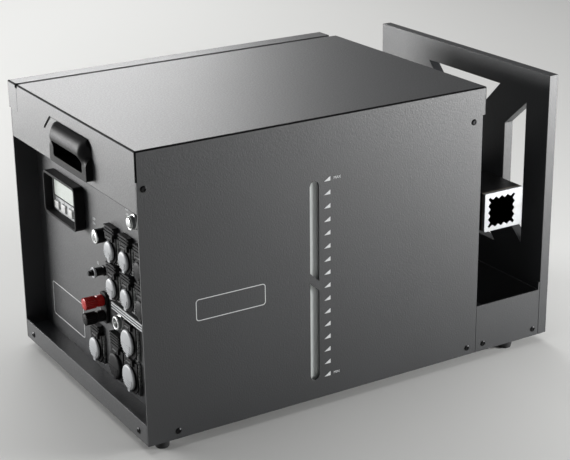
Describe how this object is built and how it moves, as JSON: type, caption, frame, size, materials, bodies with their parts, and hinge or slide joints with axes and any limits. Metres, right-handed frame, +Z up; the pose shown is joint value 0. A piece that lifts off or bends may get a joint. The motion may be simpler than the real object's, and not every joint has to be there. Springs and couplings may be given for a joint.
{
  "type": "stage flame machine",
  "caption": "Black sheet-metal flame projector with a hinged lid, a panel of covered sockets, a fuel level slot and a nozzle head that swings in a guarded bay",
  "frame": {"origin": "under the middle of the machine's box, on the floor that the feet stand on", "axes": "+X from the control end to the nozzle end, -Y the side with the level slot, +Z up"},
  "size_m": [0.611, 0.371, 0.372],
  "materials": {
    "black_powder_coat": "fine textured black powder coat, satin",
    "black_moulding": "black moulded plastic, light texture",
    "grey_moulding": "grey moulded plastic, satin",
    "red_moulding": "red moulded plastic, glossy",
    "rubber": "black rubber, matt",
    "chrome": "bright chrome plate",
    "stainless": "stainless sheet, fine mill finish",
    "zinc_steel": "zinc plated steel",
    "brass": "machined brass",
    "tank_plastic": "natural blow-moulded polyethylene",
    "display_face": "dark gloss face with a screen"
  },
  "bodies": {
    "machine": {"base_tray": "black_powder_coat", "near_side_panel": "black_powder_coat", "far_side_panel": "black_powder_coat", "front_band": "black_powder_coat", "control_panel": "black_powder_coat", "bay_bulkhead": "black_powder_coat", "rear_strip": "black_powder_coat", "carry_handle": "black_moulding", "display_bezel": "black_moulding", "display_board": "display_face", "power_button_ring": "chrome", "key_switch_body": "black_moulding", "breaker_body": "grey_moulding", "post_base": "black_moulding", "ring_socket": "chrome", "socket_a1": "black_moulding", "socket_b1": "black_moulding", "socket_c1": "black_moulding", "socket_a2": "black_moulding", "socket_b2": "black_moulding", "socket_c2": "black_moulding", "socket_b3": "black_moulding", "socket_d4": "black_moulding", "socket_a4": "black_moulding", "socket_b4": "black_moulding", "guard_plate": "black_powder_coat", "swivel_motor": "zinc_steel", "fuel_tank": "tank_plastic", "fuel_pump": "zinc_steel", "ignition_transformer": "grey_moulding", "foot_1": "rubber", "foot_2": "rubber", "foot_3": "rubber", "foot_4": "rubber"},
    "lid": {"lid": "black_powder_coat"},
    "swivel": {"swivel_arm": "black_powder_coat", "swivel_gear": "zinc_steel", "nozzle_housing": "stainless", "nozzle_jet": "brass"},
    "pinion": {"motor_pinion": "brass"},
    "filler_cap": {"filler_cap": "black_moulding"},
    "menu_key_1": {"menu_key_1": "grey_moulding"},
    "menu_key_2": {"menu_key_2": "grey_moulding"},
    "menu_key_3": {"menu_key_3": "grey_moulding"},
    "menu_key_4": {"menu_key_4": "grey_moulding"},
    "power_button": {"power_button": "chrome"},
    "breaker_button": {"breaker_button": "black_moulding"},
    "key_cylinder": {"key_cylinder": "chrome"},
    "red_post_cap": {"red_post_cap": "red_moulding"},
    "black_post_cap": {"black_post_cap": "black_moulding"},
    "flap_a1": {"flap_a1": "grey_moulding"},
    "flap_b1": {"flap_b1": "grey_moulding"},
    "flap_c1": {"flap_c1": "black_moulding"},
    "flap_a2": {"flap_a2": "grey_moulding"},
    "flap_b2": {"flap_b2": "grey_moulding"},
    "flap_c2": {"flap_c2": "black_moulding"},
    "flap_b3": {"flap_b3": "grey_moulding"},
    "flap_d4": {"flap_d4": "grey_moulding"},
    "flap_a4": {"flap_a4": "black_moulding"},
    "flap_b4": {"flap_b4": "grey_moulding"}
  },
  "joints": [
    {"name": "lid_hinge", "type": "hinge", "parent": "machine", "child": "lid", "pos_m": [-0.0525, 0.156, 0.369], "axis": [-1, 0, 0], "range_deg": [0, 95]},
    {"name": "nozzle_swing", "type": "hinge", "parent": "machine", "child": "swivel", "pos_m": [0.2195, -0.009, 0.1955], "axis": [-1, 0, 0], "range_deg": [-15, 195]},
    {"name": "pinion_spin", "type": "hinge", "parent": "machine", "child": "pinion", "pos_m": [0.1595, 0.0546, 0.1955], "axis": [-1, 0, 0], "range_deg": [-490, 40]},
    {"name": "filler_cap_turn", "type": "hinge", "parent": "machine", "child": "filler_cap", "pos_m": [-0.0625, -0.089, 0.304], "axis": [0, 0, 1], "range_deg": [0, 360]},
    {"name": "menu_key_1_press", "type": "slide", "parent": "machine", "child": "menu_key_1", "axis": [1, 0, 0], "range_m": [0, 0.0012], "stiffness_N_per_m": 300},
    {"name": "menu_key_2_press", "type": "slide", "parent": "machine", "child": "menu_key_2", "axis": [1, 0, 0], "range_m": [0, 0.0012], "stiffness_N_per_m": 300},
    {"name": "menu_key_3_press", "type": "slide", "parent": "machine", "child": "menu_key_3", "axis": [1, 0, 0], "range_m": [0, 0.0012], "stiffness_N_per_m": 300},
    {"name": "menu_key_4_press", "type": "slide", "parent": "machine", "child": "menu_key_4", "axis": [1, 0, 0], "range_m": [0, 0.0012], "stiffness_N_per_m": 300},
    {"name": "power_button_press", "type": "slide", "parent": "machine", "child": "power_button", "axis": [1, 0, 0], "range_m": [0, 0.0025], "stiffness_N_per_m": 400},
    {"name": "breaker_button_press", "type": "slide", "parent": "machine", "child": "breaker_button", "axis": [1, 0, 0], "range_m": [0, 0.003], "stiffness_N_per_m": 400},
    {"name": "key_turn", "type": "hinge", "parent": "machine", "child": "key_cylinder", "pos_m": [-0.2765, -0.024, 0.219], "axis": [1, 0, 0], "range_deg": [0, 90]},
    {"name": "red_post_cap_turn", "type": "hinge", "parent": "machine", "child": "red_post_cap", "pos_m": [-0.2925, -0.018, 0.132], "axis": [-1, 0, 0], "range_deg": [0, 360]},
    {"name": "black_post_cap_turn", "type": "hinge", "parent": "machine", "child": "black_post_cap", "pos_m": [-0.2925, -0.018, 0.1115], "axis": [-1, 0, 0], "range_deg": [0, 360]},
    {"name": "flap_a1_hinge", "type": "hinge", "parent": "machine", "child": "flap_a1", "pos_m": [-0.269, -0.053, 0.2248], "axis": [0, 1, 0], "range_deg": [0, 100], "stiffness_Nm_per_rad": 0.02, "springref_deg": -22.92},
    {"name": "flap_b1_hinge", "type": "hinge", "parent": "machine", "child": "flap_b1", "pos_m": [-0.269, -0.093, 0.2248], "axis": [0, 1, 0], "range_deg": [0, 100], "stiffness_Nm_per_rad": 0.02, "springref_deg": -22.92},
    {"name": "flap_c1_hinge", "type": "hinge", "parent": "machine", "child": "flap_c1", "pos_m": [-0.269, -0.133, 0.2248], "axis": [0, 1, 0], "range_deg": [0, 100], "stiffness_Nm_per_rad": 0.02, "springref_deg": -22.92},
    {"name": "flap_a2_hinge", "type": "hinge", "parent": "machine", "child": "flap_a2", "pos_m": [-0.269, -0.053, 0.1768], "axis": [0, 1, 0], "range_deg": [0, 100], "stiffness_Nm_per_rad": 0.02, "springref_deg": -22.92},
    {"name": "flap_b2_hinge", "type": "hinge", "parent": "machine", "child": "flap_b2", "pos_m": [-0.269, -0.093, 0.1768], "axis": [0, 1, 0], "range_deg": [0, 100], "stiffness_Nm_per_rad": 0.02, "springref_deg": -22.92},
    {"name": "flap_c2_hinge", "type": "hinge", "parent": "machine", "child": "flap_c2", "pos_m": [-0.269, -0.133, 0.1768], "axis": [0, 1, 0], "range_deg": [0, 100], "stiffness_Nm_per_rad": 0.02, "springref_deg": -22.92},
    {"name": "flap_b3_hinge", "type": "hinge", "parent": "machine", "child": "flap_b3", "pos_m": [-0.269, -0.092, 0.1238], "axis": [0, 1, 0], "range_deg": [0, 100], "stiffness_Nm_per_rad": 0.02, "springref_deg": -22.92},
    {"name": "flap_d4_hinge", "type": "hinge", "parent": "machine", "child": "flap_d4", "pos_m": [-0.269, 0.007, 0.0758], "axis": [0, 1, 0], "range_deg": [0, 100], "stiffness_Nm_per_rad": 0.02, "springref_deg": -22.92},
    {"name": "flap_a4_hinge", "type": "hinge", "parent": "machine", "child": "flap_a4", "pos_m": [-0.269, -0.053, 0.0778], "axis": [0, 1, 0], "range_deg": [0, 100], "stiffness_Nm_per_rad": 0.02, "springref_deg": -22.92},
    {"name": "flap_b4_hinge", "type": "hinge", "parent": "machine", "child": "flap_b4", "pos_m": [-0.269, -0.092, 0.0778], "axis": [0, 1, 0], "range_deg": [0, 100], "stiffness_Nm_per_rad": 0.02, "springref_deg": -22.92}
  ],
  "couplings": [
    {"joint": "pinion_spin", "follows": "nozzle_swing", "ratio": -2.5}
  ]
}
